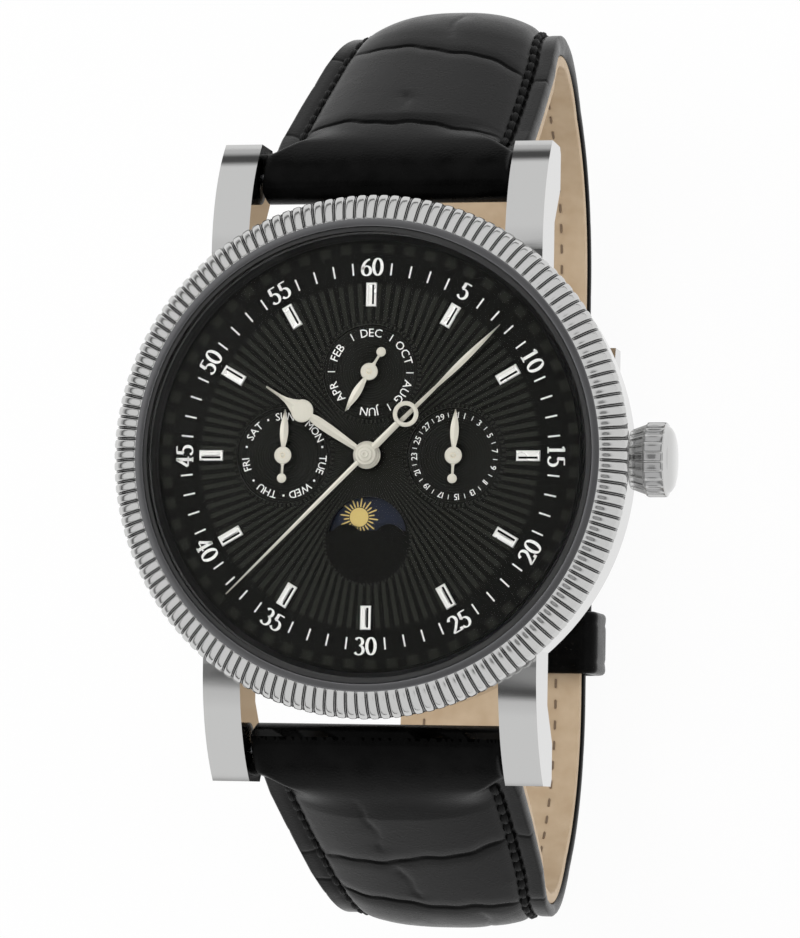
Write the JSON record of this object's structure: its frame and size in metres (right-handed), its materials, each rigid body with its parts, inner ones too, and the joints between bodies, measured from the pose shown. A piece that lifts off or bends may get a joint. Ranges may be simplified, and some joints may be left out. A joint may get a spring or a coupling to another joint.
{
  "type": "wristwatch",
  "caption": "Analogue wristwatch with month, weekday and date hands, a day and night aperture, a fluted bezel and crown, and a padded leather strap closed by a tang buckle.",
  "frame": {"origin": "on the dial's axis, in the plane that the fixed keeper and the buckle rest on", "axes": "+Z out of the dial, +Y towards 12 o'clock, +X towards the crown at 3 o'clock"},
  "size_m": [0.0473, 0.0812, 0.0671],
  "materials": {
    "polished_steel": "mirror polished",
    "steel": "turned",
    "hand_steel": "polished",
    "blued_steel": "blued",
    "crystal": "clear",
    "gasket": "matte",
    "black_metal": "satin",
    "dial_black": "satin, sunray",
    "night_blue": "satin",
    "brass": "brushed",
    "plated_brass": "nickel plated",
    "ruby": "polished",
    "black_leather": "embossed, semi gloss",
    "tan_leather": "matte"
  },
  "bodies": {
    "watch": {"case_middle": "polished_steel", "bezel": "polished_steel", "crystal": "crystal", "crystal_gasket": "gasket", "rehaut": "black_metal", "case_back": "polished_steel", "back_crystal": "crystal", "back_gasket": "gasket", "crown_tube": "steel", "spring_bars": "steel", "dial": "dial_black", "hour_batons": "hand_steel", "movement_ring": "plated_brass", "mainplate": "plated_brass", "barrel_bridge": "plated_brass", "train_bridge": "plated_brass", "balance_cock": "plated_brass", "bridge_screws": "blued_steel", "jewels": "ruby", "click": "steel", "hairspring": "blued_steel", "rotor_bearing": "steel", "strap_upper": "black_leather", "lining_upper": "tan_leather", "strap_lower": "black_leather", "lining_lower": "tan_leather", "fixed_keeper": "black_leather", "buckle": "polished_steel"},
    "minute_hand": {"minute_hand": "hand_steel", "cannon_pinion": "steel", "centre_wheel": "brass"},
    "hour_hand": {"hour_hand": "hand_steel", "hour_wheel": "brass"},
    "minute_wheel": {"minute_wheel": "brass"},
    "day_night_disc": {"day_night_disc": "night_blue"},
    "third_wheel": {"third_wheel": "brass"},
    "second_hand": {"second_hand": "hand_steel", "second_wheel": "brass"},
    "escape_wheel": {"escape_wheel": "steel"},
    "barrel": {"barrel": "brass", "barrel_cover": "brass", "mainspring": "steel"},
    "barrel_arbor": {"barrel_arbor": "steel", "ratchet_wheel": "steel"},
    "pallet_fork": {"pallet_fork": "steel"},
    "balance": {"balance_wheel": "brass"},
    "month_hand": {"month_hand": "hand_steel", "month_star": "brass"},
    "weekday_hand": {"weekday_hand": "hand_steel", "weekday_star": "brass"},
    "date_hand": {"date_hand": "hand_steel", "date_star": "brass"},
    "winding_rotor": {"winding_rotor": "plated_brass"},
    "setting_lever": {"setting_lever": "steel"},
    "crown": {"crown": "polished_steel", "crown_gasket": "gasket", "winding_stem": "steel", "sliding_pinion": "steel"},
    "sliding_keeper": {"sliding_keeper": "black_leather"},
    "buckle_tang": {"buckle_tang": "polished_steel"}
  },
  "joints": [
    {"name": "minute_turn", "type": "hinge", "parent": "watch", "child": "minute_hand", "pos_m": [0, 0, 0.06], "axis": [0, 0, 1], "continuous": true},
    {"name": "hour_turn", "type": "hinge", "parent": "watch", "child": "hour_hand", "pos_m": [0, 0, 0.06], "axis": [0, 0, 1], "continuous": true},
    {"name": "minute_wheel_turn", "type": "hinge", "parent": "watch", "child": "minute_wheel", "pos_m": [0.0031, -0.00162, 0.06], "axis": [0, 0, 1], "continuous": true},
    {"name": "day_night_turn", "type": "hinge", "parent": "watch", "child": "day_night_disc", "pos_m": [0, -0.0071, 0.06], "axis": [0, 0, 1], "continuous": true},
    {"name": "third_wheel_turn", "type": "hinge", "parent": "watch", "child": "third_wheel", "pos_m": [-0.00458, -0.00286, 0.06], "axis": [0, 0, 1], "continuous": true},
    {"name": "second_turn", "type": "hinge", "parent": "watch", "child": "second_hand", "pos_m": [0, 0, 0.06], "axis": [0, 0, 1], "continuous": true},
    {"name": "escape_wheel_turn", "type": "hinge", "parent": "watch", "child": "escape_wheel", "pos_m": [0.00264, -0.00457, 0.06], "axis": [0, 0, 1], "continuous": true},
    {"name": "barrel_turn", "type": "hinge", "parent": "watch", "child": "barrel", "pos_m": [0, 0.00672, 0.06], "axis": [0, 0, 1], "continuous": true},
    {"name": "barrel_arbor_turn", "type": "hinge", "parent": "watch", "child": "barrel_arbor", "pos_m": [0, 0.00672, 0.06], "axis": [0, 0, 1], "continuous": true},
    {"name": "month_turn", "type": "hinge", "parent": "watch", "child": "month_hand", "pos_m": [0, 0.007, 0.06], "axis": [0, 0, 1], "continuous": true},
    {"name": "weekday_turn", "type": "hinge", "parent": "watch", "child": "weekday_hand", "pos_m": [-0.00725, 0, 0.06], "axis": [0, 0, 1], "continuous": true},
    {"name": "date_turn", "type": "hinge", "parent": "watch", "child": "date_hand", "pos_m": [0.00725, 0, 0.06], "axis": [0, 0, 1], "continuous": true},
    {"name": "rotor_turn", "type": "hinge", "parent": "watch", "child": "winding_rotor", "pos_m": [0, 0, 0.0572], "axis": [0, 0, 1], "continuous": true},
    {"name": "pallet_rock", "type": "hinge", "parent": "watch", "child": "pallet_fork", "pos_m": [0.00474, -0.00579, 0.06], "axis": [0, 0, 1], "range_deg": [-5, 5]},
    {"name": "balance_swing", "type": "hinge", "parent": "watch", "child": "balance", "pos_m": [0.00793, -0.00802, 0.059], "axis": [0, 0, 1], "range_deg": [-270, 270], "stiffness_Nm_per_rad": 0.0000001},
    {"name": "crown_pull", "type": "slide", "parent": "watch", "child": "setting_lever", "axis": [1, 0, 0], "range_m": [0, 0.0012]},
    {"name": "crown_turn", "type": "hinge", "parent": "setting_lever", "child": "crown", "pos_m": [0.022, 0, 0.05995], "axis": [1, 0, 0], "continuous": true},
    {"name": "keeper_slide", "type": "slide", "parent": "watch", "child": "sliding_keeper", "axis": [0, 1, 0], "range_m": [-0.002, 0.0055]},
    {"name": "tang_lift", "type": "hinge", "parent": "watch", "child": "buckle_tang", "pos_m": [0, 0.005, 0.0054], "axis": [-1, 0, 0], "range_deg": [0, 15]}
  ],
  "couplings": [
    {"joint": "minute_wheel_turn", "follows": "minute_turn", "ratio": -0.33333},
    {"joint": "hour_turn", "follows": "minute_turn", "ratio": 0.083333},
    {"joint": "day_night_turn", "follows": "minute_turn", "ratio": 0.041667},
    {"joint": "third_wheel_turn", "follows": "minute_turn", "ratio": -8},
    {"joint": "second_turn", "follows": "minute_turn", "ratio": 60},
    {"joint": "escape_wheel_turn", "follows": "minute_turn", "ratio": -600},
    {"joint": "barrel_turn", "follows": "minute_turn", "ratio": -0.14286}
  ]
}
